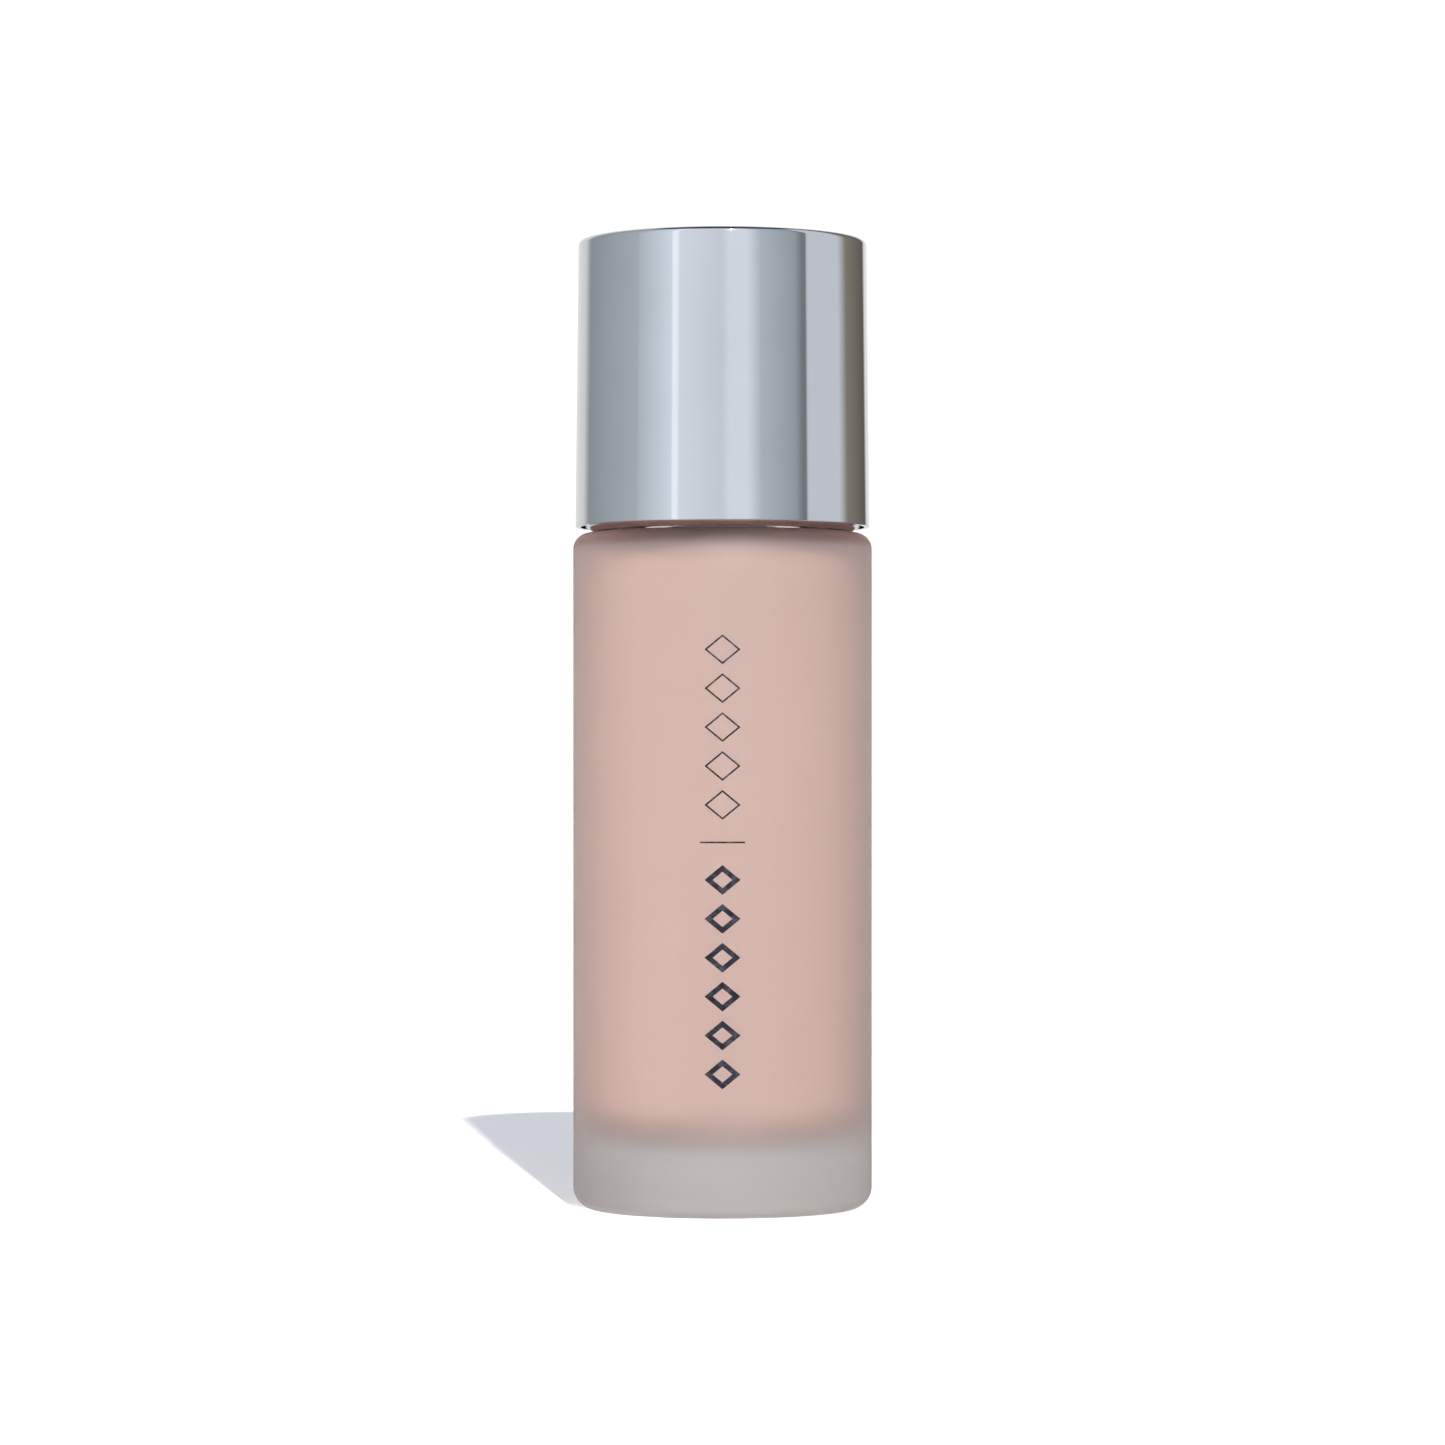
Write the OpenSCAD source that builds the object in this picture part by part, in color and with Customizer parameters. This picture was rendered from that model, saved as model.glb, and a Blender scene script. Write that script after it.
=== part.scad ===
// Foundation bottle: heavy frosted glass, a screw-on treatment pump and a bright push-on cap.
// The origin is the centre of the foot on the table, +Z is up, and the decorated front faces -Y.
// All sizes are in millimetres.

/* [Glass body] */
// Outside diameter of the glass body
body_d = 34; // [33.6:0.1:35]
// Height of the body, from the table to the flat of the shoulder
body_h = 76.8; // [74:0.2:80]
// Thickness of the side wall
wall_t = 4.4; // [4:0.1:4.8]
// Thickness of the heavy base
base_t = 7.4; // [6.6:0.1:9]
// Rounding of the outside edge at the foot
foot_r = 2.5; // [2:0.1:3]
// Rounding of the outside edge at the shoulder
shoulder_r = 1.8; // [1.2:0.1:2.2]
// Rounding inside, where the wall meets the base
inner_foot_r = 5; // [4:0.2:6]

/* [Neck] */
// Height of the neck above the shoulder
neck_h = 10; // [10:0.2:10.6]
// Outside diameter of the neck, between the threads
neck_d = 17.6; // [17.4:0.1:17.6]
// Diameter of the mouth
mouth_d = 13; // [12.6:0.1:13.2]
// Rise of the thread in one turn
thread_pitch = 3.175; // [3.1:0.025:3.2]

/* [Cap] */
// Outside diameter of the cap at its open end
cap_d = 33.5; // [33.2:0.1:33.7]
// How much smaller the closed top is, across the diameter
cap_draft = 0.7; // [0.3:0.1:0.9]
// Height of the cap
cap_h = 32.6; // [32.2:0.1:34]
// Gap between the shoulder and the open end of the cap
cap_gap = 0.7; // [0.6:0.1:1]
// Rounding of the edge round the closed top
cap_edge_r = 0.6; // [0.4:0.1:1]

/* [Pump] */
// How far the actuator travels when it is pressed
stroke = 3.6; // [3:0.1:3.8]
// Outside diameter of the actuator
actuator_d = 16.6; // [16:0.1:16.8]
// Height of the actuator, skirt included
actuator_h = 9.8; // [9.7:0.1:10]
// Distance of the nozzle's tip from the pump's axis
nozzle_reach = 11.2; // [10.4:0.1:11.4]
// Outside diameter of the dip tube
dip_tube_d = 3.6; // [3.4:0.1:3.6]

/* [Decoration] */
// Width of the foil motif on the front
motif_w = 4; // [3:0.2:4.6]
// Height of the lower end of the motif
motif_z = 14; // [13:0.5:16]
// Number of bold lozenges, below the dividing rule
bold_lozenges = 6; // [3:1:6]
// Number of fine lozenges, above the dividing rule
fine_lozenges = 5; // [3:1:6]

/* [Hidden] */

$fn = 96;
e = 0.02;          // gap between faces that only meet
run = 0.06;        // radial clearance where one piece slides or turns in another
over = 1;          // how far a cutting shape runs past what it cuts

body_r = body_d / 2;
cavity_r = body_r - wall_t;
cavity_top = body_h - 1.4;
punt_r = 11.2;     // shallow recess under the foot
punt_h = 0.8;
fill_top = cavity_top - 0.1;

neck_r = neck_d / 2;
neck_top = body_h + neck_h;
mouth_r = mouth_d / 2;
thread_h = 1;              // how far the glass thread stands out of the neck
thread_turns = 1.25;
thread_flank = 0.5;        // how far a flank spreads for each mm down from the crest
thread_crest_w = 0.45;     // half the width of the glass thread's crest
thread_steps = 40;
thread_fade = 0.09;        // part of the length over which it fades out, at each end
thread_z = body_h + 3.3;   // centre of the glass thread where it starts
closure_bore_r = neck_r + 1.35;
closure_crest_r = neck_r + 0.25;

gasket_t = 0.8;
flange_z = neck_top + e + gasket_t;
flange_t = 1.2;
flange_top = flange_z + flange_t;
flange_r = 8.7;

chamber_r = 4;
chamber_z = flange_top - 20.6;      // floor of the pump chamber
ball_r = 1.5;
inlet_r = 1;
pocket_r = 1.9;                     // the ball's pocket
seat_z = chamber_z - 4;             // lower edge of the ball's conical seat
seat_h = 1.4;
socket_top = seat_z - 1.2;          // where the dip tube ends
socket_z = socket_top - 6;
dip_r = dip_tube_d / 2;
dip_z = base_t + 1.2;

guide_z = flange_top - 4.8;
guide_r = 4.7;
guide_cap_r = 5.5;
stem_r = 2;
stem_bore_r = 1;
piston_h = 4.4;
piston_top = guide_z - 0.5;
piston_z = piston_top - piston_h;
pin_flange_t = 0.9;
pin_r = 1.6;
stem_z = piston_z + 2.1;            // lower end of the stem, inside the piston

lip_z = flange_top + e;             // the closure's lip that holds the pump down
lip_t = 1.4;
well_z = lip_z + lip_t;
well_r = 8.8;
well_top = well_z + stroke + 1.1;
closure_r = 11.9;
closure_z = body_h + 0.6;

collar_t = 0.45;
tower_r = 12.4;
skirt_r = 15.7;
collar_z = body_h + 0.2;
collar_step = collar_z + 2;
collar_top = well_top + 0.05 + collar_t;

actuator_r = actuator_d / 2;
actuator_z = well_z + stroke + 0.5;
actuator_top = actuator_z + actuator_h;
stem_top = actuator_z + 4.6;
actuator_skin = 0.5;
nozzle_z = actuator_top - 3;
nozzle_r = 1.7;

cap_z = body_h + cap_gap;
cap_top = cap_z + cap_h;
cap_r = cap_d / 2;
cap_top_r = cap_r - cap_draft / 2;
cap_t = 0.6;
liner_z = collar_step + e;          // the cap rests on the collar's step
liner_top = cap_top - cap_t - 2 * e;
sleeve_r = tower_r + 0.3;           // inside of the liner's sleeve, round the collar's tower
sleeve_wide_r = 13.5;               // and above the collar, round the actuator
sleeve_t = 0.9;

// --- Shapes that repeat ---------------------------------------------------------------------------

// What is cut away to round the upper outside corner of a profile. Mirror it for the other corners.
module corner_cut(r) {
    difference() {
        square(r + over);
        circle(r);
    }
}

// What fills an inside corner of a profile, or is cut from an outside one that opens downwards.
module corner_fill(r) {
    difference() {
        square(r);
        translate([r, r]) circle(r);
    }
}

// Half section of a round body from z1 to z2, with its outside corners rounded.
module drum(r, z1, z2, low_r, high_r) {
    difference() {
        translate([0, z1]) square([r, z2 - z1]);
        translate([r - high_r, z2 - high_r]) corner_cut(high_r);
        translate([r - low_r, z1 + low_r]) mirror([0, 1]) corner_cut(low_r);
    }
}

// Half section of a ring, drawn between two radii and two heights.
module band(r1, r2, z1, z2) {
    translate([r1, z1]) square([r2 - r1, z2 - z1]);
}

// A tube, or a disc where r1 is 0.
module ring(r1, r2, z1, z2) {
    rotate_extrude() band(r1, r2, z1, z2);
}

// Copies of its children, evenly round the axis.
module around(count, first = 0) {
    for (i = [0:count - 1]) rotate(first + i * 360 / count) children();
}

// Triangles that join rings of m points into a closed body with flat ends.
function skin(n, m) = concat(
    [for (i = [0:n - 2], j = [0:m - 1]) [i * m + j, (i + 1) * m + (j + 1) % m, i * m + (j + 1) % m]],
    [for (i = [0:n - 2], j = [0:m - 1]) [i * m + j, (i + 1) * m + j, (i + 1) * m + (j + 1) % m]],
    [for (j = [1:m - 2]) [0, j, j + 1]],
    [for (j = [1:m - 2]) [(n - 1) * m, (n - 1) * m + j + 1, (n - 1) * m + j]]);

// One turn of the section [radius, height] to the angle a.
function turned(section, a) = [for (p = section) [p[0] * cos(a), p[0] * sin(a), p[1]]];

// A helical ridge. It runs from the radius root, inside the wall, to crest, and fades out at both ends.
// crest_w is half its width at the crest. Each flank spreads by thread_flank for every mm of height.
function fade(t) = max(0.15, min(1, t / thread_fade, (1 - t) / thread_fade));
function ridge_section(root, crest, crest_w, z, f) =
    let (tip = root + (crest - root) * f)
    let (w2 = crest_w * f, w1 = w2 + thread_flank * abs(crest - root) * f)
    crest > root
        ? [[root, z + w1], [tip, z + w2], [tip, z - w2], [root, z - w1]]
        : [[root, z - w1], [tip, z - w2], [tip, z + w2], [root, z + w1]];
module ridge(root, crest, crest_w, z) {
    rings = [for (i = [0:thread_steps])
        let (t = i / thread_steps, rise = thread_pitch * thread_turns * t)
        turned(ridge_section(root, crest, crest_w, z + rise, fade(t)), 360 * thread_turns * t)];
    polyhedron([for (section = rings, p = section) p], skin(thread_steps + 1, 4));
}

// --- Bottle ---------------------------------------------------------------------------------------

// Half section of the space inside the glass, or of what fills it when it is drawn smaller by gap.
module cavity(gap, top) {
    r = cavity_r - gap;
    inner_shoulder_r = 1;
    difference() {
        drum(r, base_t + gap, cavity_top - gap, inner_foot_r - gap, inner_shoulder_r - gap);
        band(0, body_r, top, neck_top);
    }
}

module glass_bottle() color("gainsboro") {
    neck_fillet = 0.8;
    mouth_edge_r = 0.6;
    rotate_extrude() difference() {
        union() {
            drum(body_r, 0, body_h, foot_r, shoulder_r);
            drum(neck_r, body_h - over, neck_top, mouth_edge_r / 2, mouth_edge_r);
            translate([neck_r, body_h]) corner_fill(neck_fillet);
        }
        cavity(0, cavity_top);
        band(0, mouth_r, cavity_top - over, neck_top + over);
        drum(punt_r, -over, punt_h, 0.1, punt_h / 2);
        translate([punt_r, 0]) corner_fill(punt_h / 2);
    }
    ridge(neck_r - 0.3, neck_r + thread_h, thread_crest_w, thread_z);
}

// The liquid, with room for the pump and its dip tube, which draw straight up out of it.
module foundation_fill() color("#D2A896") {
    gap = 0.15;
    rotate_extrude() difference() {
        cavity(e, fill_top);
        housing_outline(gap);
        band(0, dip_r + gap, dip_z - gap, socket_z + over);
    }
}

// Foil lozenges on the front: bold below the dividing rule, and fine above it.
module foil_motif() color("#3A3A40") {
    lozenge_h = 3.3;
    step = 4.3;
    rule_h = 0.18;
    foil_t = 0.06;
    bold_line = 0.75;
    fine_line = 0.24;
    rule_z = motif_z + bold_lozenges * step + 2;
    upper_z = rule_z + 2 + step / 2;
    intersection() {
        ring(body_r + e / 2, body_r + e / 2 + foil_t, motif_z - over, body_h);
        union() {
            for (i = [0:bold_lozenges - 1])
                on_front(motif_z + (i + 0.5) * step) lozenge(motif_w, lozenge_h, bold_line);
            for (i = [0:fine_lozenges - 1])
                on_front(upper_z + i * step) lozenge(motif_w, lozenge_h, fine_line);
            on_front(rule_z) square([motif_w + 1, rule_h], center = true);
        }
    }
}

// Stands a flat drawing up in front of the body and gives it depth through the glass face.
module on_front(z) {
    translate([0, -body_r + 2, z]) rotate([90, 0, 0]) linear_extrude(4) children();
}

// A lozenge with a window. The frame's thickness is measured across its corners.
module lozenge(w, h, line) {
    k = 1 - 2 * line / h;
    difference() {
        polygon([[w / 2, 0], [0, h / 2], [-w / 2, 0], [0, -h / 2]]);
        polygon([[k * w / 2, 0], [0, k * h / 2], [-k * w / 2, 0], [0, -k * h / 2]]);
    }
}

module shade_label() color("white") {
    label_r = 10;
    label_t = 0.1;
    ring(0, label_r, punt_h - e - label_t, punt_h - e);
}

// --- Pump body ------------------------------------------------------------------------------------

module neck_gasket() color("whitesmoke") {
    ring(mouth_r + 0.1, flange_r, neck_top + e, flange_z);
}

// Half section of the outside of the housing, grown by gap. It only narrows on the way down.
module housing_outline(gap) {
    barrel_r = chamber_r + 1;
    upper_r = guide_r + 0.9;
    socket_r = dip_r + 1.1;
    upper_z = guide_z - 1.4;
    cone_top = chamber_z - 0.8;
    cone_z = seat_z - 0.8;
    polygon([
        [0, socket_z - gap], [socket_r + gap, socket_z - gap], [socket_r + gap, cone_z],
        [barrel_r + gap, cone_top], [barrel_r + gap, upper_z], [upper_r + gap, upper_z + 0.6],
        [upper_r + gap, flange_z], [0, flange_z]]);
}

module pump_housing() color("ghostwhite", 0.9) {
    rib_t = 0.5;
    rib_h = 0.35;
    difference() {
        rotate_extrude() {
            housing_outline(0);
            band(0, flange_r, flange_z, flange_top);
        }
        ring(0, guide_r, guide_z, flange_top + over);
        ring(0, chamber_r, chamber_z, guide_z + over);
        ring(0, pocket_r, seat_z + seat_h, chamber_z + over);
        translate([0, 0, seat_z]) cylinder(h = seat_h, r1 = inlet_r, r2 = pocket_r);
        ring(0, inlet_r, socket_top - over, seat_z + over);
        ring(0, dip_r + e, socket_z - over, socket_top);
    }
    // Three fingers over the ball's pocket keep the ball in.
    around(3)
        translate([0.7, -rib_t / 2, chamber_z - rib_h]) cube([pocket_r + 0.4 - 0.7, rib_t, rib_h]);
}

// Closes the housing and guides the stem. The piston stops against its lower end.
module stem_guide() color("white") {
    cap_t = 0.75;
    rotate_extrude() difference() {
        union() {
            band(0, guide_r - e, guide_z, flange_top + e);
            drum(guide_cap_r, flange_top + e, flange_top + e + cap_t, 0.1, 0.3);
        }
        band(0, stem_r + run, guide_z - over, flange_top + over * 3);
    }
}

// Open tube with a slanted foot, so that it can't seal itself against the base.
module dip_tube() color("ghostwhite", 0.8) {
    tube_t = 0.6;
    slant = 30;
    difference() {
        ring(dip_r - tube_t, dip_r, dip_z, socket_top);
        translate([-dip_r, -10, dip_z]) rotate([0, slant, 0]) translate([-5, 0, -10]) cube([20, 20, 10]);
    }
}

// Compression spring with a closed coil at each end, between the chamber's floor and the valve pin.
module return_spring() color("silver") {
    wire_r = 0.25;
    coil_r = 3;
    active = 5;
    coil_steps = 18;
    sides = 6;
    closed_rise = 2.2 * wire_r;
    low = chamber_z + wire_r + e;
    high = piston_z - e - pin_flange_t - wire_r - e;
    rise = (high - low - 2 * closed_rise) / active;
    turns = active + 2;
    height = function (u) low + min(u, 1) * closed_rise + max(0, min(u - 1, active)) * rise
        + max(0, u - 1 - active) * closed_rise;
    rings = [for (i = [0:turns * coil_steps])
        let (u = i / coil_steps)
        turned([for (j = [0:sides - 1])
            [coil_r + wire_r * cos(360 * j / sides), height(u) - wire_r * sin(360 * j / sides)]], 360 * u)];
    polyhedron([for (section = rings, p = section) p], skin(turns * coil_steps + 1, sides));
}

// Rests on the conical seat and shuts the inlet while the actuator goes down.
module inlet_ball() color("silver") {
    slope = atan((pocket_r - inlet_r) / seat_h);
    lift = ball_r / sin(slope) - inlet_r / tan(slope);
    translate([0, 0, seat_z + lift + e]) sphere(ball_r);
}

// --- Piston and actuator --------------------------------------------------------------------------

// Soft piston with a lip at each end that wipes the chamber.
module pump_piston() color("white") {
    lip_r = chamber_r - 0.03;
    waist_r = 3.4;
    lip_h = 1.3;
    shoulder_z = stem_z - 0.4;   // the stem pushes here once the outlet has opened
    rotate_extrude() difference() {
        union() {
            band(0, waist_r, piston_z, piston_top);
            polygon([[waist_r - 0.4, piston_z], [lip_r - 0.2, piston_z], [lip_r, piston_z + 0.2],
                [lip_r, piston_z + 0.6], [waist_r, piston_z + lip_h]]);
            polygon([[waist_r - 0.4, piston_top], [waist_r, piston_top - lip_h], [lip_r, piston_top - 0.6],
                [lip_r, piston_top - 0.2], [lip_r - 0.2, piston_top]]);
        }
        band(0, pin_r + run, piston_z - over, shoulder_z);
        band(0, stem_r + run, shoulder_z, piston_top + over);
    }
}

// Plugged into the stem from below. Its flange shuts the outlet and carries the spring.
module valve_pin() color("white") {
    spigot_h = 3.5;
    slots = 4;
    difference() {
        union() {
            rotate_extrude() drum(3.5, piston_z - e - pin_flange_t, piston_z - e, 0.2, 0.1);
            ring(0, pin_r, piston_z - e - pin_flange_t / 2, stem_z);
            ring(0, stem_bore_r - e, stem_z - e, stem_z + spigot_h);
        }
        // Flow grooves past the piston and up into the stem.
        around(slots) translate([0.6, -0.25, piston_z + 0.3]) cube([2, 0.5, stem_z + spigot_h]);
    }
}

module pump_stem() color("white") {
    rotate_extrude() difference() {
        drum(stem_r, stem_z + e, stem_top, 0.2, 0.3);
        band(0, stem_bore_r, stem_z - over, stem_top + over);
    }
}

// Plastic inside of the actuator: the stem's socket, the channel, and the skirt that carries the cover.
module actuator_core() color("white") {
    core_r = actuator_r - actuator_skin - e;
    core_top = actuator_top - actuator_skin - 0.7;
    floor_z = actuator_z + 4.1;
    skirt_t = 1;
    socket_r = 3.2;
    channel_r = 0.9;
    difference() {
        union() {
            difference() {
                ring(0, core_r, actuator_z + 0.2, core_top);
                ring(0, core_r - skirt_t, actuator_z - over, floor_z);
            }
            ring(0, socket_r, actuator_z + 0.6, floor_z + over);
            around(6, 15) translate([socket_r - 0.2, -0.3, actuator_z + 1.4])
                cube([core_r - skirt_t - socket_r + 0.4, 0.6, floor_z - actuator_z - 1]);
        }
        ring(0, stem_r + e, actuator_z - over, stem_top + e);
        ring(0, channel_r, stem_top - over, nozzle_z);
        translate([0, 0, nozzle_z]) sphere(channel_r);
        translate([0, 0, nozzle_z]) rotate([90, 0, 0]) cylinder(h = body_r, r = channel_r);
        translate([0, -core_r + 2.2, nozzle_z]) rotate([90, 0, 0]) cylinder(h = body_r, r = nozzle_r + e);
    }
}

// Bright cover over the core, with a shallow dish for the finger.
module actuator_shell() color("silver") {
    edge_r = 1;
    dish_r = 38;
    dish_depth = 0.55;
    difference() {
        rotate_extrude() difference() {
            drum(actuator_r, actuator_z, actuator_top, 0.15, edge_r);
            band(0, actuator_r - actuator_skin, actuator_z - over, actuator_top - actuator_skin - 0.65);
        }
        translate([0, 0, actuator_top + dish_r - dish_depth]) sphere(dish_r);
        translate([0, -over, nozzle_z]) rotate([90, 0, 0]) cylinder(h = body_r, r = nozzle_r + 2 * e);
    }
}

// Spout pressed into the core's side.
module nozzle_insert() color("white") {
    orifice_r = 0.7;
    seat_y = actuator_r - actuator_skin - e - 2.2;
    translate([0, 0, nozzle_z]) rotate([90, 0, 0]) rotate_extrude() difference() {
        drum(nozzle_r, seat_y + e, nozzle_reach, 0.1, 0.5);
        band(0, orifice_r, seat_y - over, nozzle_reach + over);
    }
}

// --- Closure and collar ---------------------------------------------------------------------------

// Threaded ring that clamps the pump onto the neck, with the well that the actuator dips into.
module screw_closure() color("white") {
    well_t = 1.1;
    ridge_gap = 0.14;
    ridge_crest_w = 0.25;
    // The ridge lies under the glass thread, ridge_gap below its flank.
    engaged = neck_r + thread_h - closure_crest_r;
    drop = thread_crest_w + thread_flank * engaged + ridge_crest_w + ridge_gap;
    rotate_extrude() difference() {
        union() {
            drum(closure_r, closure_z, well_z, 0.3, 0.3);
            band(0, well_r + well_t, well_z - over, well_top);
        }
        band(0, closure_bore_r, closure_z - over, lip_z);
        band(0, guide_cap_r + 0.2, lip_z - over, well_z + over);
        band(0, well_r, well_z, well_top + over);
    }
    around(8, 22.5) translate([well_r + well_t - 0.2, -0.4, well_z - 0.2])
        cube([closure_r - well_r - well_t + 0.2 - 0.15, 0.8, well_top - well_z]);
    ridge(closure_bore_r + 0.3, closure_crest_r, ridge_crest_w, thread_z - drop);
}

// Bright drawn collar: a wide skirt just inside the cap's open end, and the tower that the cap grips.
// The skirt's foot is rolled inwards.
module collar_shell() color("silver") {
    roll_r = 1.25;
    step_edge_r = 0.5;
    tower_edge_r = 0.8;
    rotate_extrude() difference() {
        union() {
            drum(skirt_r, collar_z, collar_step, roll_r, step_edge_r);
            drum(tower_r, collar_step - over, collar_top, 0.1, tower_edge_r);
        }
        drum(skirt_r - collar_t, collar_z + collar_t, collar_step - collar_t, roll_r - collar_t, 0.2);
        band(0, skirt_r - roll_r, collar_z - over, collar_step - over);
        drum(tower_r - collar_t, collar_step - over, collar_top - collar_t, 0.1, 0.4);
        band(0, well_r + 0.05, collar_top - over, collar_top + over);
    }
}

// --- Cap ------------------------------------------------------------------------------------------

// Outside radius of the cap at the height z.
function cap_side(z) = cap_r + (cap_top_r - cap_r) * (z - cap_z) / cap_h;

module cap_shell() color("silver") {
    rim_r = 0.12;
    rim_z = cap_z + rim_r;
    edge_z = cap_top - cap_edge_r;
    rotate_extrude() difference() {
        polygon([[0, cap_z], [cap_r, cap_z], [cap_top_r, cap_top], [0, cap_top]]);
        translate([cap_side(edge_z) - cap_edge_r, edge_z]) corner_cut(cap_edge_r);
        translate([cap_side(rim_z) - rim_r, rim_z]) mirror([0, 1]) corner_cut(rim_r);
        polygon([[0, cap_z - over], [cap_side(cap_z - over) - cap_t, cap_z - over],
            [cap_side(cap_top) - cap_t, cap_top - cap_t], [0, cap_top - cap_t]]);
    }
}

// Plastic liner glued into the shell. Its sleeve grips the collar with small upright ribs.
module cap_liner() color("white") {
    skirt_t = 0.8;
    plate_t = 1;
    widen_z = collar_top + 1.2;
    grip_top = collar_top - 2;
    skirt_in = cap_side(liner_top) - cap_t - 2 * e - skirt_t;
    rotate_extrude() {
        // Outer skirt and top plate.
        difference() {
            polygon([[0, liner_z], [cap_side(liner_z) - cap_t - 2 * e, liner_z],
                [cap_side(liner_top) - cap_t - 2 * e, liner_top], [0, liner_top]]);
            band(0, skirt_in, liner_z - over, liner_top - plate_t);
        }
        // Sleeve, wider above the collar.
        band(sleeve_r, sleeve_r + sleeve_t, liner_z, widen_z);
        band(sleeve_r, sleeve_wide_r + sleeve_t, widen_z - 0.9, widen_z);
        band(sleeve_wide_r, sleeve_wide_r + sleeve_t, widen_z - 0.9, liner_top - plate_t / 2);
    }
    // Webs between sleeve and skirt, and the grip ribs inside the sleeve.
    around(12) translate([sleeve_r + sleeve_t - 0.2, -0.35, liner_z + 1])
        cube([skirt_in - sleeve_r - sleeve_t + 0.4, 0.7, liner_top - liner_z - plate_t - 0.8]);
    around(8, 22.5) translate([tower_r + run, -0.35, liner_z + 1])
        cube([sleeve_r - tower_r, 0.7, grip_top - liner_z - 1]);
}

glass_bottle();
foundation_fill();
foil_motif();
shade_label();
neck_gasket();
pump_housing();
stem_guide();
dip_tube();
return_spring();
inlet_ball();
pump_piston();
valve_pin();
pump_stem();
screw_closure();
collar_shell();
actuator_core();
actuator_shell();
nozzle_insert();
cap_liner();
cap_shell();
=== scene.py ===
"""Looks of the foundation bottle: frosted glass, pink liquid, dark foil, a bright cap and its pump."""

import math

import bmesh
import bpy
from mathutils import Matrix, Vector


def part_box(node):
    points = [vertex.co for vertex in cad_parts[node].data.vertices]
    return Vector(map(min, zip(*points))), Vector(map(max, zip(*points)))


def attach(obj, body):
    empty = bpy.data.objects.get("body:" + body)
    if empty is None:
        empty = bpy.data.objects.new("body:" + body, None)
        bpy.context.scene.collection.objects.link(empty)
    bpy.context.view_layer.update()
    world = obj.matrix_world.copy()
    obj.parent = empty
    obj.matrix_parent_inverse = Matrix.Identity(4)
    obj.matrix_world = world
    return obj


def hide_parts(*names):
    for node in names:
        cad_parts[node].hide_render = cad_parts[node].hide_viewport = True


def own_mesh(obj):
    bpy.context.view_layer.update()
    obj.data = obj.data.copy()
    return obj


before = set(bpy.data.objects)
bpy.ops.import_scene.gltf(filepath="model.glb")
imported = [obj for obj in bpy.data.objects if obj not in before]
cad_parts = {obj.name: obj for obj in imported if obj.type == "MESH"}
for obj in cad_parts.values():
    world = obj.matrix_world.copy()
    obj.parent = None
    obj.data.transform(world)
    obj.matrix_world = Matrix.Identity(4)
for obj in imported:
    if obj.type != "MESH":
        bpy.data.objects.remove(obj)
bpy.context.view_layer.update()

MM = 0.001
TURN = 2 * math.pi


# --- Sizes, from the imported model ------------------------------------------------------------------

def high(node, axis):
    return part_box(node)[1][axis]


def low(node, axis):
    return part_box(node)[0][axis]


FACE_GAP = 0.02 * MM                      # between faces that only meet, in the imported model
COLLAR_GAP = 0.2 * MM                     # from the shoulder up to the collar
FILL_GAP = 0.1 * MM                       # from the liquid up to the top of the cavity
BODY_R = high("glass_bottle", 0)
NECK_TOP = high("glass_bottle", 2)
BODY_H = low("collar_shell", 2) - COLLAR_GAP
CAVITY_R = high("foundation_fill", 0) + FACE_GAP
BASE_T = low("foundation_fill", 2) - FACE_GAP
FILL_TOP = high("foundation_fill", 2)
CAVITY_TOP = FILL_TOP + FILL_GAP
CAP_R = high("cap_shell", 0)
CAP_Z = low("cap_shell", 2)
CAP_TOP = high("cap_shell", 2)


# --- Mesh helpers ----------------------------------------------------------------------------------

LATHE_STEPS = 256                         # round each turned piece


def arc(r, z, radius, start, end, steps=8):
    """Points on a circle round (r, z), from one angle to another, in degrees."""
    angles = [math.radians(start + (end - start) * i / steps) for i in range(steps + 1)]
    return [(r + radius * math.cos(a), z + radius * math.sin(a)) for a in angles]


def finish_mesh(name, bm, body, materials, sharp=30):
    """Makes a smooth-shaded piece of bm that rides on a body."""
    bmesh.ops.recalc_face_normals(bm, faces=bm.faces)
    mesh = bpy.data.meshes.new(name)
    bm.to_mesh(mesh)
    bm.free()
    mesh.shade_smooth()
    mesh.set_sharp_from_angle(angle=math.radians(sharp))
    for material in materials:
        mesh.materials.append(material)
    piece = bpy.data.objects.new(name, mesh)
    bpy.context.collection.objects.link(piece)
    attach(piece, body)
    return piece


def held(points, hold=0.04 * MM, least=0.3 * MM):
    """The outline with a point added close to each end of its long sides, so that they are shaded flat."""
    out = points[:1]
    for (r0, z0), (r1, z1) in zip(points, points[1:]):
        length = math.hypot(r1 - r0, z1 - z0)
        if length > least:
            part = hold / length
            out.append((r0 + (r1 - r0) * part, z0 + (z1 - z0) * part))
            out.append((r1 - (r1 - r0) * part, z1 - (z1 - z0) * part))
        out.append((r1, z1))
    return out


def turn_outline(bm, runs, steps=LATHE_STEPS):
    """Turns an outline round Z. Each run is (material index, points) and starts where the last ended."""
    previous = None
    for material, points in runs:
        for r, z in held(points):
            ring = [bm.verts.new((r * math.cos(TURN * i / steps), r * math.sin(TURN * i / steps), z))
                    for i in range(steps if r > 0 else 1)]
            if previous:
                join_rings(bm, previous, ring, material)
            previous = ring
    bmesh.ops.remove_doubles(bm, verts=bm.verts, dist=1e-7)


def join_rings(bm, a, b, material):
    """Joins two loops of vertices by faces. Either one may be a single point."""
    n = max(len(a), len(b))
    if n == 1:
        return
    for i in range(n):
        j = (i + 1) % n
        corners = [a[i % len(a)], a[j % len(a)], b[j % len(b)], b[i % len(b)]]
        face = bm.faces.new(list(dict.fromkeys(corners)))
        face.material_index = material


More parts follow.
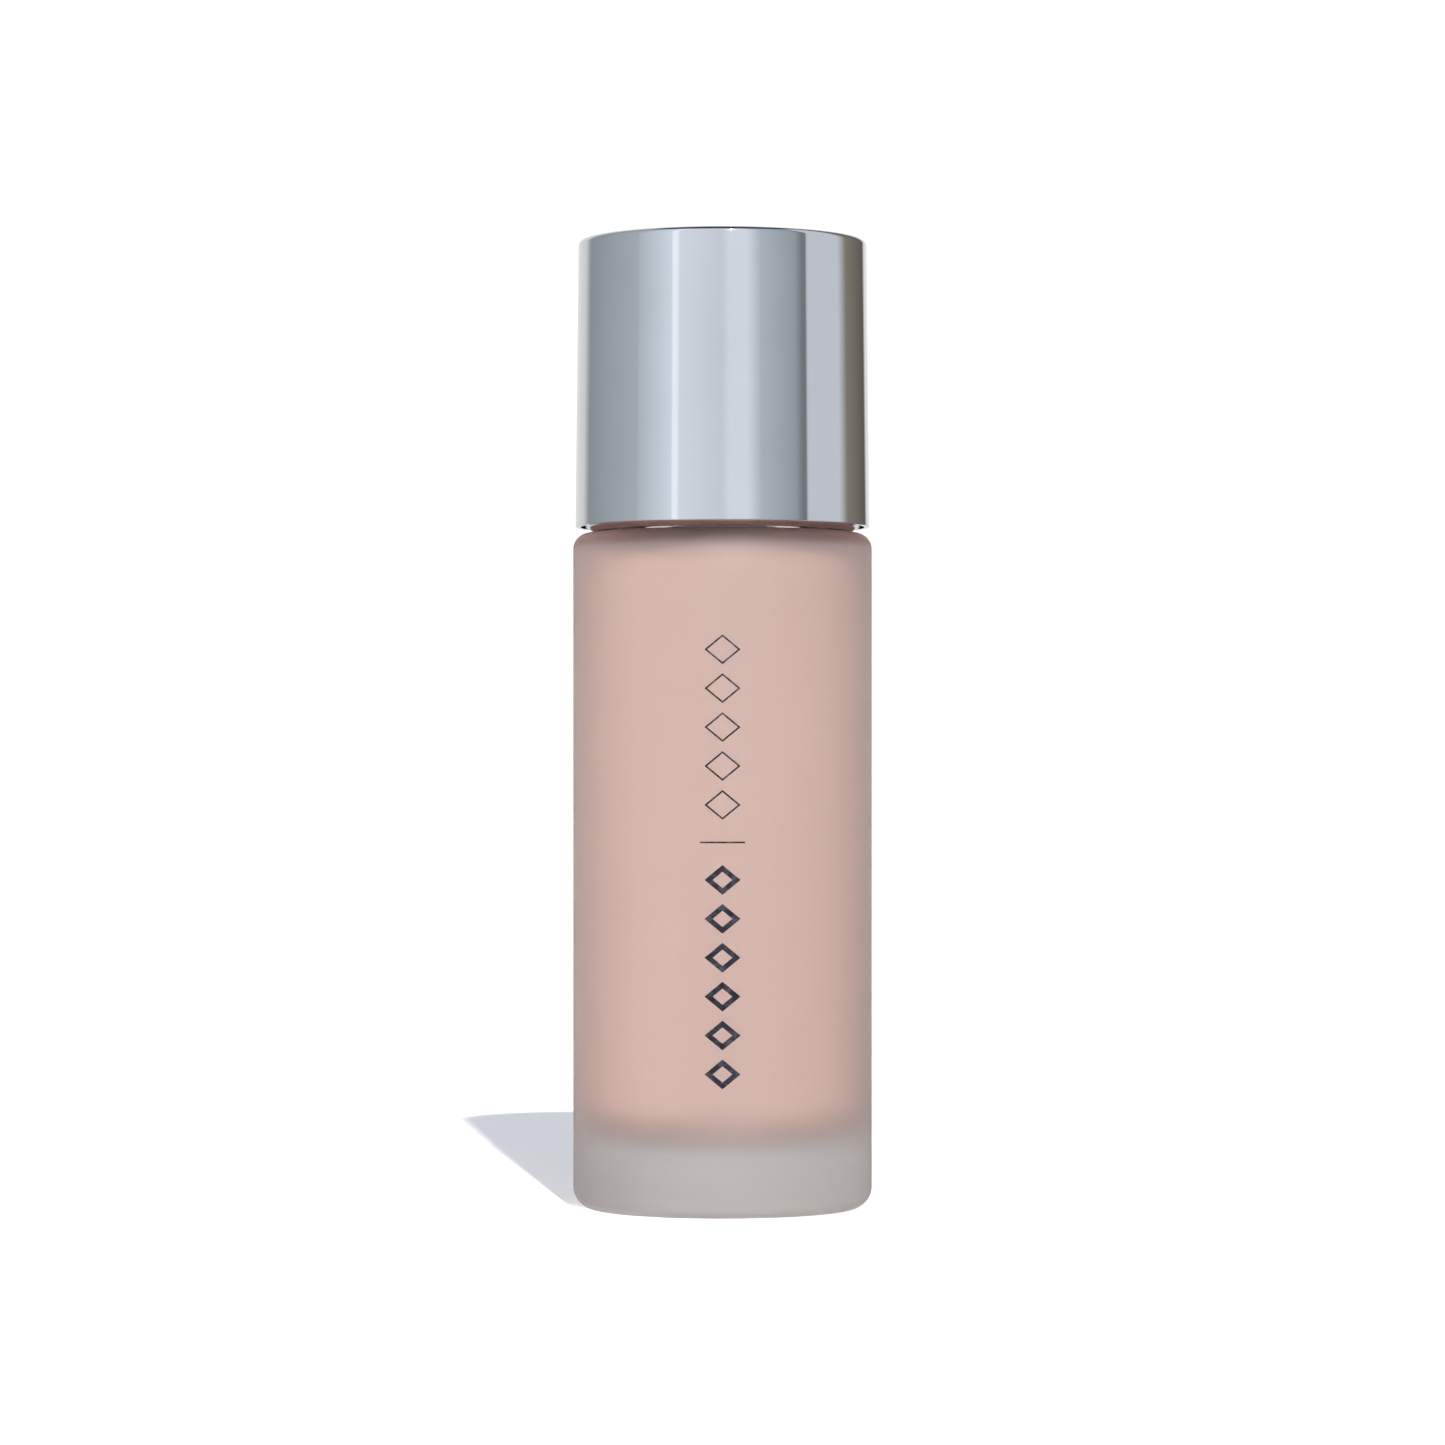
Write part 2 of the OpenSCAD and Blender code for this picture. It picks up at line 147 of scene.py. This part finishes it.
def lathe(name, body, runs, materials):
    bm = bmesh.new()
    turn_outline(bm, runs)
    return finish_mesh(name, bm, body, materials)


def sweep(bm, rings, material=0):
    """Joins rings of points into a closed tube with flat ends."""
    made = [[bm.verts.new(point) for point in ring] for ring in rings]
    for a, b in zip(made, made[1:]):
        join_rings(bm, a, b, material)
    bm.faces.new(made[0])
    bm.faces.new(list(reversed(made[-1])))


# --- Node helpers ----------------------------------------------------------------------------------

class Nodes:
    """A material's or world's node tree, with short calls to add and link nodes."""

    def __init__(self, owner):
        owner.use_nodes = True
        self.tree = owner.node_tree
        self.tree.nodes.clear()

    def add(self, kind, **sockets):
        node = self.tree.nodes.new("ShaderNode" + kind)
        for name, value in sockets.items():
            self.put(node, name, value)
        return node

    def put(self, node, name, value):
        """Sets a property of the node, or else a socket, by its name or as _ and its number."""
        if hasattr(node, name):
            setattr(node, name, value)
            return
        socket = node.inputs[int(name[1:])] if name[1:].isdigit() else node.inputs[name.replace("_", " ")]
        if isinstance(value, bpy.types.NodeSocket):
            self.tree.links.new(value, socket)
        else:
            socket.default_value = value

    def ramp(self, factor, stops):
        node = self.add("ValToRGB", Fac=factor)
        elements = node.color_ramp.elements
        while len(elements) < len(stops):
            elements.new(0.5)
        for element, (position, colour) in zip(elements, stops):
            element.position = position
            element.color = (*colour, 1)
        return node.outputs[0]

    def span(self, value, start, end, least=0, most=1):
        """value, mapped from between start and end to between least and most."""
        return self.add("MapRange", Value=value, _1=start, _2=end, _3=least, _4=most).outputs[0]

    def spread(self, factor, least, most):
        """Noise, which lies between about 0.3 and 0.7, mapped to between least and most."""
        return self.span(factor, 0.3, 0.7, least, most)

    def math(self, operation, a, b):
        return self.add("Math", operation=operation, _0=a, _1=b).outputs[0]

    def noise(self, vector, scale, detail=2.0, rough=0.5, stretch=(1, 1, 1)):
        scaled = self.add("Mapping", Vector=vector, Scale=stretch)
        node = self.add("TexNoise", Vector=scaled.outputs[0], Scale=scale, Detail=detail, Roughness=rough)
        return node.outputs["Fac"]

    def bump(self, height, strength, distance):
        return self.add("Bump", Height=height, Strength=strength, Distance=distance).outputs[0]


def material(name):
    """A new material, with its nodes, its place coordinates and its output."""
    made = bpy.data.materials.new(name)
    nodes = Nodes(made)
    place = nodes.add("TexCoord").outputs["Object"]
    out = nodes.add("OutputMaterial")
    return made, nodes, place, out


# --- Materials -------------------------------------------------------------------------------------

CLOSE_BEHIND, FAR_BEHIND = 9 * MM, 16 * MM


def glass(name, rough, tints, veils, shade, shadow, grain):
    """Clear or acid-frosted glass, with a tint and a milky veil for each height of the body. On the frosted
    glass that colour paints in light: a pink glow for light the liquid has coloured, and shade under the cap.

    The light of a lamp is dimmed by shade on what is close behind the glass, and by shadow on what is
    far behind it, such as the floor, because the frosting scatters it.
    """
    made, n, place, out = material(name)
    blotches = n.noise(place, 90, detail=3)
    height = n.add("SeparateXYZ", Vector=place).outputs[2]
    part = n.math("DIVIDE", height, BODY_H)
    clearness = [(at, (1 - veil,) * 3) for at, veil in veils]
    shader = n.add("BsdfPrincipled", Base_Color=n.ramp(part, tints), IOR=1.5,
                   Transmission_Weight=n.ramp(part, clearness), Roughness=n.spread(blotches, *rough))
    if grain:
        pits = n.noise(place, 5200, detail=2)
        n.put(shader, "Normal", n.bump(pits, grain, 0.02 * MM))
    path = n.add("LightPath")
    far = n.span(path.outputs["Ray Length"], CLOSE_BEHIND, FAR_BEHIND)
    lamps = n.add("BsdfTransparent", Color=n.ramp(far, [(0, shade), (1, shadow)]))
    mixed = n.add("MixShader", _0=path.outputs["Is Shadow Ray"], _1=shader.outputs[0], _2=lamps.outputs[0])
    n.put(out, "Surface", mixed.outputs[0])
    return made


def foundation():
    made, n, place, out = material("foundation_liquid")
    swirl = n.noise(place, 60, detail=4, stretch=(1, 1, 0.35))
    colour = n.ramp(swirl, [(0.3, (0.53, 0.365, 0.30)), (0.7, (0.56, 0.39, 0.325))])
    shader = n.add("BsdfPrincipled", Base_Color=colour, Roughness=n.spread(swirl, 0.32, 0.42))
    n.put(out, "Surface", shader.outputs[0])
    return made


def bright_metal():
    """Bright anodised aluminium, with faint lines round it from polishing and a little wear."""
    made, n, place, out = material("bright_anodised")
    smudges = n.noise(place, 140, detail=3)
    lines = n.noise(place, 900, detail=2, stretch=(0.02, 0.02, 1))
    colour = n.ramp(smudges, [(0.3, (0.85, 0.86, 0.87)), (0.7, (0.88, 0.89, 0.90))])
    shader = n.add("BsdfPrincipled", Base_Color=colour, Metallic=1.0,
                   Roughness=n.spread(smudges, 0.025, 0.045))
    n.put(shader, "Normal", n.bump(lines, 0.08, 0.004 * MM))
    n.put(out, "Surface", shader.outputs[0])
    return made


def foil():
    made, n, place, out = material("dark_foil_print")
    creases = n.noise(place, 1500, detail=3)
    colour = n.ramp(creases, [(0.35, (0.045, 0.043, 0.055)), (0.7, (0.12, 0.12, 0.14))])
    shader = n.add("BsdfPrincipled", Base_Color=colour, Metallic=1.0,
                   Roughness=n.spread(creases, 0.16, 0.34))
    n.put(shader, "Normal", n.bump(creases, 0.5, 0.02 * MM))
    n.put(out, "Surface", shader.outputs[0])
    return made


def plastic(name, dark, light, rough, grain_scale=1800):
    """Moulded plastic with a fine grain and slightly uneven gloss."""
    made, n, place, out = material(name)
    cloud = n.noise(place, 160, detail=2)
    grain = n.noise(place, grain_scale, detail=3)
    shader = n.add("BsdfPrincipled", Base_Color=n.ramp(cloud, [(0.3, dark), (0.7, light)]),
                   Roughness=n.spread(cloud, *rough))
    n.put(shader, "Normal", n.bump(grain, 0.15, 0.01 * MM))
    n.put(out, "Surface", shader.outputs[0])
    return made


def steel():
    made, n, place, out = material("drawn_steel")
    lines = n.noise(place, 2500, detail=2, stretch=(1, 1, 0.1))
    colour = n.ramp(lines, [(0.3, (0.52, 0.52, 0.53)), (0.7, (0.68, 0.68, 0.69))])
    shader = n.add("BsdfPrincipled", Base_Color=colour, Metallic=1.0, Roughness=n.spread(lines, 0.18, 0.32))
    n.put(out, "Surface", shader.outputs[0])
    return made


def paper():
    made, n, place, out = material("label_paper")
    fibres = n.noise(place, 2200, detail=4)
    colour = n.ramp(fibres, [(0.3, (0.80, 0.79, 0.77)), (0.7, (0.88, 0.87, 0.85))])
    shader = n.add("BsdfPrincipled", Base_Color=colour, Roughness=n.spread(fibres, 0.6, 0.8))
    n.put(shader, "Normal", n.bump(fibres, 0.3, 0.01 * MM))
    n.put(out, "Surface", shader.outputs[0])
    return made


# As parts of the body's height. The glass colour paints in light and shade: a pink glow, for light that the
# liquid has coloured, fills the glass between the thick base, which is plain, and the shoulder, where painted
# shade stands for the cap's shade, darkest on the flat under the cap.
BASE_END, BODY_START, BODY_END, SHOULDER, PAINTED_CAP_SHADE = 0.085, 0.13, 0.976, 0.985, 0.994
FROSTED = glass("frosted_glass", rough=(0.52, 0.58),
                tints=[(BASE_END, (0.555, 0.53, 0.508)), (BODY_START, (0.64, 0.57, 0.555)),
                       # painted shade under the cap, from the shoulder up to the darkest flat
                       (BODY_END, (0.64, 0.57, 0.555)), (SHOULDER, (0.40, 0.30, 0.29)),
                       (PAINTED_CAP_SHADE, (0.34, 0.24, 0.23)), (1, (0.10, 0.06, 0.06))],
                veils=[(BASE_END, 0.36), (BODY_START, 0.16), (BODY_END, 0.20), (SHOULDER, 0.02)],
                shade=(0.80, 0.79, 0.78), shadow=(0.15, 0.15, 0.15), grain=0.25)
CLEAR = glass("clear_glass", rough=(0.02, 0.05), tints=[(0, (0.96, 0.96, 0.96))], veils=[(0, 0)],
              shade=(0.96, 0.96, 0.96), shadow=(0.90, 0.90, 0.90), grain=0)
LIQUID = foundation()
METAL = bright_metal()
FOIL = foil()
WHITE = plastic("white_moulded", (0.80, 0.80, 0.79), (0.86, 0.86, 0.85), (0.28, 0.36))
NATURAL = plastic("natural_moulded", (0.72, 0.73, 0.72), (0.78, 0.79, 0.78), (0.38, 0.48))
FOAM = plastic("foam_gasket", (0.74, 0.74, 0.72), (0.84, 0.84, 0.82), (0.65, 0.80), grain_scale=4000)
STEEL = steel()
PAPER = paper()

CAD_MATERIALS = {
    "neck_gasket": FOAM, "pump_housing": NATURAL, "stem_guide": WHITE, "dip_tube": NATURAL,
    "inlet_ball": STEEL, "pump_piston": NATURAL, "valve_pin": WHITE, "pump_stem": WHITE,
    "screw_closure": WHITE, "actuator_core": WHITE, "nozzle_insert": WHITE, "cap_liner": WHITE,
    "shade_label": PAPER, "actuator_shell": METAL,
}
for node, look in CAD_MATERIALS.items():
    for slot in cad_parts[node].material_slots:
        slot.material = look


# --- Bottle ----------------------------------------------------------------------------------------

FOOT_R = 2.5 * MM
SHOULDER_R = 1.8 * MM
NECK_R = 8.8 * MM
MOUTH_R = 6.5 * MM
PUNT_R = 11.2 * MM
PUNT_H = 0.8 * MM
INNER_FOOT_R = 5 * MM
INNER_SHOULDER_R = 1 * MM
THREAD_PITCH = 3.175 * MM
THREAD_TURNS = 1.25
THREAD_Z = BODY_H + 3.3 * MM


def bottle_outline():
    edge = PUNT_H / 2
    neck_fillet = 0.8 * MM
    mouth_edge = 0.6 * MM
    outside = [(0, PUNT_H), *arc(PUNT_R - edge, edge, edge, 90, 0),
               *arc(PUNT_R + edge, edge, edge, 180, 270),
               *arc(BODY_R - FOOT_R, FOOT_R, FOOT_R, -90, 0, 16),
               *arc(BODY_R - SHOULDER_R, BODY_H - SHOULDER_R, SHOULDER_R, 0, 90, 12),
               (NECK_R + neck_fillet, BODY_H)]
    inside = [*arc(NECK_R + neck_fillet, BODY_H + neck_fillet, neck_fillet, 270, 180),
              *arc(NECK_R - mouth_edge, NECK_TOP - mouth_edge, mouth_edge, 0, 90),
              (MOUTH_R, NECK_TOP), (MOUTH_R, CAVITY_TOP),
              *arc(CAVITY_R - INNER_SHOULDER_R, CAVITY_TOP - INNER_SHOULDER_R, INNER_SHOULDER_R, 90, 0, 12),
              *arc(CAVITY_R - INNER_FOOT_R, BASE_T + INNER_FOOT_R, INNER_FOOT_R, 0, -90, 16), (0, BASE_T)]
    return [(0, outside), (1, inside)]


def neck_thread(bm):
    """A ridge round the neck that fades out at both ends."""
    steps, fade_part, least = 90, 0.09, 0.15
    root, height, crest_w, flank = NECK_R - 0.3 * MM, 1.3 * MM, 0.45 * MM, 0.5
    rings = []
    for i in range(steps + 1):
        t = i / steps
        fade = max(least, min(1, t / fade_part, (1 - t) / fade_part))
        tip, top = root + height * fade, crest_w * fade
        foot = top + flank * height * fade
        z, turn = THREAD_Z + THREAD_PITCH * THREAD_TURNS * t, TURN * THREAD_TURNS * t
        section = [(root, z + foot), (tip, z + top), (tip, z - top), (root, z - foot)]
        rings.append([(r * math.cos(turn), r * math.sin(turn), h) for r, h in section])
    sweep(bm, rings, material=1)


def make_bottle():
    bm = bmesh.new()
    turn_outline(bm, bottle_outline())
    neck_thread(bm)
    piece = finish_mesh("bottle_glass", bm, "bottle", [FROSTED, CLEAR])
    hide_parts("glass_bottle")


def make_liquid():
    """The liquid wets the glass: it reaches a hair into the wall, so that no air shows between them."""
    sleeve = 0.15 * MM                    # left free round the pump
    meniscus = 0.4 * MM
    foot_arc = arc(CAVITY_R - INNER_FOOT_R, BASE_T + INNER_FOOT_R, INNER_FOOT_R + FACE_GAP, -90, 0, 16)
    shoulder_arc = arc(CAVITY_R - INNER_SHOULDER_R, CAVITY_TOP - INNER_SHOULDER_R,
                       INNER_SHOULDER_R + FACE_GAP, 0, 90, 24)
    shoulder = [(r, z) for r, z in shoulder_arc if z < FILL_TOP]
    tube_r, tube_z = high("dip_tube", 0) + sleeve, low("dip_tube", 2) - sleeve
    barrel_r = 5 * MM + sleeve
    socket_r = 2.9 * MM + sleeve
    socket_z = low("pump_housing", 2) - sleeve
    cone_z, cone_top = socket_z + 6.4 * MM, socket_z + 10.4 * MM
    outline = [(0, BASE_T - FACE_GAP), *foot_arc, *shoulder, (shoulder[-1][0] - meniscus, FILL_TOP),
               (barrel_r, FILL_TOP), (barrel_r, cone_top), (socket_r, cone_z), (socket_r, socket_z),
               (tube_r, socket_z), (tube_r, tube_z), (0, tube_z)]
    piece = lathe("liquid", "bottle", [(0, outline)], [LIQUID])
    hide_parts("foundation_fill")
    return piece


make_bottle()
LIQUID_PIECE = make_liquid()


# --- Foil motif ------------------------------------------------------------------------------------

FOIL_INSIDE = BODY_R + 0.008 * MM
FOIL_OUTSIDE = BODY_R + 0.035 * MM


def on_glass(x, z, radius):
    """The point at x and z on the front of a cylinder round the body."""
    return (x, -math.sqrt(radius * radius - x * x), z)


def foil_strip(bm, outer, inner):
    """A closed band of foil between two loops of (x, z) points."""
    edges = ((outer, FOIL_INSIDE), (outer, FOIL_OUTSIDE), (inner, FOIL_OUTSIDE), (inner, FOIL_INSIDE))
    loops = [[bm.verts.new(on_glass(x, z, radius)) for x, z in loop] for loop, radius in edges]
    for a, b in zip(loops, loops[1:] + loops[:1]):
        join_rings(bm, a, b, 0)


def lozenge(z, width, height, scale, steps=10):
    """Points round a lozenge that stands on its tip, with its middle at z."""
    corners = [(width / 2, 0), (0, height / 2), (-width / 2, 0), (0, -height / 2)]
    points = []
    for (x0, z0), (x1, z1) in zip(corners, corners[1:] + corners[:1]):
        points += [(scale * (x0 + (x1 - x0) * i / steps), z + scale * (z0 + (z1 - z0) * i / steps))
                   for i in range(steps)]
    return points


def foil_rule(bm, z, half, height, steps=20):
    """A level rule across the front of the body."""
    bottom, top = z - height / 2, z + height / 2
    rings = []
    for i in range(steps + 1):
        x = -half + 2 * half * i / steps
        rings.append([on_glass(x, bottom, FOIL_INSIDE), on_glass(x, bottom, FOIL_OUTSIDE),
                      on_glass(x, top, FOIL_OUTSIDE), on_glass(x, top, FOIL_INSIDE)])
    sweep(bm, rings)


def make_foil():
    """Bold lozenges below a rule, and fine ones above it."""
    bm = bmesh.new()
    motif_w, lozenge_h, step = 4 * MM, 3.3 * MM, 4.3 * MM
    bold, bold_line = 6, 0.75 * MM
    fine, fine_line = 5, 0.24 * MM
    rule_gap, rule_past, rule_h = 2 * MM, 0.5 * MM, 0.18 * MM
    motif_z = low("foil_motif", 2) - (step - lozenge_h) / 2
    rule_z = motif_z + bold * step + rule_gap
    upper_z = rule_z + rule_gap + step / 2
    places = [(motif_z + (i + 0.5) * step, bold_line) for i in range(bold)]
    places += [(upper_z + i * step, fine_line) for i in range(fine)]
    for z, line in places:
        inner = lozenge(z, motif_w, lozenge_h, 1 - 2 * line / lozenge_h)
        foil_strip(bm, lozenge(z, motif_w, lozenge_h, 1), inner)
    foil_rule(bm, rule_z, motif_w / 2 + rule_past, rule_h)
    piece = finish_mesh("foil_lozenges", bm, "bottle", [FOIL])
    piece.visible_shadow = False          # the frosting scatters it away
    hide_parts("foil_motif")


make_foil()


# --- Cap and collar --------------------------------------------------------------------------------

CAP_TAPER = 0.35 * MM                     # how much narrower the closed top is, on the radius
CAP_T = 0.6 * MM


def cap_side(z):
    """The cap's outer radius at a height."""
    return CAP_R - CAP_TAPER * (z - CAP_Z) / (CAP_TOP - CAP_Z)


def make_cap():
    rim, edge = 0.12 * MM, 0.6 * MM
    outline = [(cap_side(CAP_Z) - CAP_T, CAP_Z),
               *arc(cap_side(CAP_Z + rim) - rim, CAP_Z + rim, rim, -90, 0),
               *arc(cap_side(CAP_TOP - edge) - edge, CAP_TOP - edge, edge, 0, 90, 14), (0, CAP_TOP)]
    inside = [(0, CAP_TOP - CAP_T), (cap_side(CAP_TOP) - CAP_T, CAP_TOP - CAP_T),
              (cap_side(CAP_Z) - CAP_T, CAP_Z)]
    piece = lathe("cap_outer", "cap", [(0, outline + inside)], [METAL])
    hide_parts("cap_shell")


def make_collar():
    """A skirt with its foot curled inwards, and on it a tower with a hole for the actuator."""
    thick, skirt_h = 0.45 * MM, 2 * MM
    skirt_r, tower_r, mouth_r = high("collar_shell", 0), 12.4 * MM, 8.85 * MM
    z, top = low("collar_shell", 2), high("collar_shell", 2)
    step = z + skirt_h
    step_edge, tower_edge, curl, fillet = 0.5 * MM, 0.8 * MM, 1.25 * MM, 0.25 * MM
    outside = [(skirt_r - curl, z), *arc(skirt_r - curl, z + curl, curl, -90, 0, 12),
               *arc(skirt_r - step_edge, step - step_edge, step_edge, 0, 90),
               *arc(tower_r + fillet, step + fillet, fillet, 270, 180),
               *arc(tower_r - tower_edge, top - tower_edge, tower_edge, 0, 90, 12), (mouth_r, top)]
    inside = [(mouth_r, top - thick),
              *arc(tower_r - tower_edge, top - tower_edge, tower_edge - thick, 90, 0),
              (tower_r - thick, step - thick), (skirt_r - thick, step - thick),
              *arc(skirt_r - curl, z + curl, curl - thick, 0, -90), (skirt_r - curl, z)]
    piece = lathe("collar_bright", "closure", [(0, outside + inside)], [METAL])
    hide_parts("collar_shell")


make_cap()
make_collar()


# --- Return spring ---------------------------------------------------------------------------------

def make_spring():
    """Five open turns of wire between two closed ones."""
    wire, coil = 0.25 * MM, 3 * MM        # radii of the wire and of the coil
    active, steps, sides = 5, 36, 12
    bottom, top = low("return_spring", 2), high("return_spring", 2)
    ends = 2.2 * wire                     # rise of a closed turn
    first, last = bottom + wire, top - wire
    rise = (last - first - 2 * ends) / active
    bm = bmesh.new()
    rings = []
    for i in range((active + 2) * steps + 1):
        u = i / steps
        z = first + min(u, 1) * ends + max(0, min(u - 1, active)) * rise + max(0, u - 1 - active) * ends
        ring = []
        for j in range(sides):
            r = coil + wire * math.cos(TURN * j / sides)
            drop = wire * math.sin(TURN * j / sides)
            ring.append((r * math.cos(TURN * u), r * math.sin(TURN * u), z - drop))
        rings.append(ring)
    sweep(bm, rings)
    piece = finish_mesh("spring_wire", bm, "pump", [STEEL])
    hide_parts("return_spring")
    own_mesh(piece)


make_spring()


# --- Studio ----------------------------------------------------------------------------------------

FLOOR_SIZE = 12
CAMERA_AWAY, CAMERA_HEIGHT = 573 * MM, 47.5 * MM
SUN_SIDE, SUN_HEIGHT = 7.8, 32            # degrees to the right of the camera, and above the floor
SUN_COLOUR = (1.0, 0.985, 0.965)

# What the bright cap mirrors: a plain room of strips. Each has a tint, the azimuths where it starts and ends,
# in degrees from the camera's side with left negative, and its brightness at both.
WHITE_CARD, BLUE_LIGHT = (1, 1, 1), (0.95, 1, 1.1)
COLD_WALL, WARM_WOOD = (0.9, 1, 1.1), (1.1, 1, 0.85)
ROOM = [
    (WHITE_CARD, -180, -140, 0.85, 0.65),     # card behind the bottle
    (COLD_WALL, -130, -70, 0.30, 0.45),       # wall at the left
    (COLD_WALL, -70, -40, 0.50, 0.75),        # its part by the window
    (BLUE_LIGHT, -40, -35, 0.95, 0.95),       # window
    (BLUE_LIGHT, -35, 0, 0.75, 0.65),         # wall before the bottle
    (BLUE_LIGHT, 5, 20, 0.75, 0.75),          # its lit part
    (COLD_WALL, 30, 60, 0.50, 0.35),          # curtain
    (COLD_WALL, 65, 70, 0.20, 0.20),          # gap beside it
    (BLUE_LIGHT, 70, 105, 0.60, 0.60),        # screen at the right
    (WARM_WOOD, 115, 150, 0.20, 0.10),        # door
    (WHITE_CARD, 155, 180, 0.75, 0.90),       # card behind the bottle
]
ROOM_EDGE = 1                             # degrees between a strip and one that starts where it ends
SKY = (0.045, 0.06, 0.115)                # a deep blue patch overhead
SKY_HEIGHT, SKY_REACH = 93, 33            # degrees up from behind the bottle, and from middle to rim
SKY_CORE = 0.85                           # the part of the reach that is all sky


def room_colours(n, place):
    """The colour of the room at the azimuth of place."""
    way = n.add("SeparateXYZ", Vector=place)
    azimuth = n.math("ARCTAN2", way.outputs[0], n.math("MULTIPLY", way.outputs[1], -1.0))
    stops = []
    for tint, start, end, start_light, end_light in ROOM:
        for degrees, light in ((start + ROOM_EDGE / 2, start_light), (end - ROOM_EDGE / 2, end_light)):
            stops.append(((degrees + 180) / 360, tuple(light * c for c in tint)))
    return n.ramp(n.span(azimuth, -math.pi, math.pi), stops)


def make_world():
    """The room and its sky light and mirror in the pieces, and the camera sees plain white behind them."""
    world = bpy.data.worlds.new("studio")
    bpy.context.scene.world = world
    n = Nodes(world)
    place = n.add("TexCoord").outputs["Generated"]
    height, reach = math.radians(SKY_HEIGHT), math.radians(SKY_REACH)
    middle = (0, math.cos(height), math.sin(height))
    overhead = n.add("VectorMath", operation="DOT_PRODUCT", _0=place, _1=middle).outputs["Value"]
    sky = n.span(overhead, math.cos(reach), math.cos(SKY_CORE * reach))
    room = n.add("MixRGB", Fac=sky, Color1=room_colours(n, place), Color2=(*SKY, 1))
    lit = n.add("Background", Color=room.outputs[0], Strength=1.0)
    seen = n.add("Background", Color=(1, 1, 1, 1), Strength=1.1)
    is_camera = n.add("LightPath").outputs["Is Camera Ray"]
    both = n.add("MixShader", _0=is_camera, _1=lit.outputs[0], _2=seen.outputs[0])
    n.put(n.add("OutputWorld"), "Surface", both.outputs[0])


def floor_card():
    """Near-white card. In the bright metal it carries the room's strips on, which its white would hide:
    mirror rays see it glow with them, a painted reflection.
    """
    made, n, place, out = material("floor_card")
    grain = n.noise(place, 300, detail=2)
    colour = n.ramp(grain, [(0.3, (0.86, 0.86, 0.86)), (0.7, (0.88, 0.88, 0.88))])
    shader = n.add("BsdfPrincipled", Base_Color=colour, Roughness=0.9,
                   Emission_Color=(0.26, 0.262, 0.28, 1), Emission_Strength=1.0)
    # painted reflection: mirror rays see the floor glow with the room's strips
    strips = n.add("Emission", Color=room_colours(n, place), Strength=0.85)
    path = n.add("LightPath")
    mirrored = n.math("MULTIPLY", path.outputs["Is Glossy Ray"], path.outputs["Is Reflection Ray"])
    mixed = n.add("MixShader", _0=mirrored, _1=shader.outputs[0], _2=strips.outputs[0])
    n.put(out, "Surface", mixed.outputs[0])
    return made


def make_floor():
    bm = bmesh.new()
    bmesh.ops.create_grid(bm, x_segments=4, y_segments=4, size=FLOOR_SIZE / 2)
    mesh = bpy.data.meshes.new("floor")
    bm.to_mesh(mesh)
    bm.free()
    floor = bpy.data.objects.new("floor", mesh)
    bpy.context.collection.objects.link(floor)
    mesh.materials.append(floor_card())
    return floor


def link_light(lamp, pieces, state):
    """Makes a lamp light only these pieces, or all but these."""
    if not pieces:
        return
    receivers = bpy.data.collections.new(lamp.name + "_receivers")
    for piece in pieces:
        receivers.objects.link(piece)
    for entry in receivers.collection_objects:
        entry.light_linking.link_state = state
    lamp.light_linking.receiver_collection = receivers


def make_sun(name, side, height, energy, angle, only=(), all_but=()):
    """A far lamp, at an azimuth from the camera's side and a height in degrees, for all or some pieces."""
    lamp = bpy.data.lights.new(name, "SUN")
    lamp.energy = energy
    lamp.angle = math.radians(angle)
    lamp.color = SUN_COLOUR
    sun = bpy.data.objects.new(name, lamp)
    bpy.context.collection.objects.link(sun)
    side, height = math.radians(side), math.radians(height)
    level = math.cos(height)
    from_bottle = Vector((math.sin(side) * level, -math.cos(side) * level, math.sin(height)))
    sun.rotation_euler = from_bottle.to_track_quat("Z", "Y").to_euler()
    link_light(sun, only, "INCLUDE")
    link_light(sun, all_but, "EXCLUDE")


def make_camera():
    """Level with the middle of the body, in front of it, with a long lens."""
    data = bpy.data.cameras.new("camera")
    data.lens = 125.3
    data.sensor_width = 36
    data.shift_y = 0.0473
    camera = bpy.data.objects.new("camera", data)
    bpy.context.collection.objects.link(camera)
    camera.location = (0, -CAMERA_AWAY, CAMERA_HEIGHT)
    camera.rotation_euler = (math.radians(90), 0, 0)
    bpy.context.scene.camera = camera


make_world()
FLOOR = make_floor()
make_sun("key", SUN_SIDE, SUN_HEIGHT, energy=2.4, angle=0.8, all_but=[FLOOR])
make_sun("key_on_floor", SUN_SIDE, SUN_HEIGHT + 3, energy=4.0, angle=0.8, only=[FLOOR])
# Light that the frosting scatters round the sides of the liquid.
for side, energy in ((-88, 3.0), (96, 1.4), (180, 1.8)):
    make_sun("wrap%+d" % side, side, SUN_HEIGHT, energy, angle=8, only=[LIQUID_PIECE])
make_camera()
bpy.context.scene.view_settings.view_transform = "Standard"
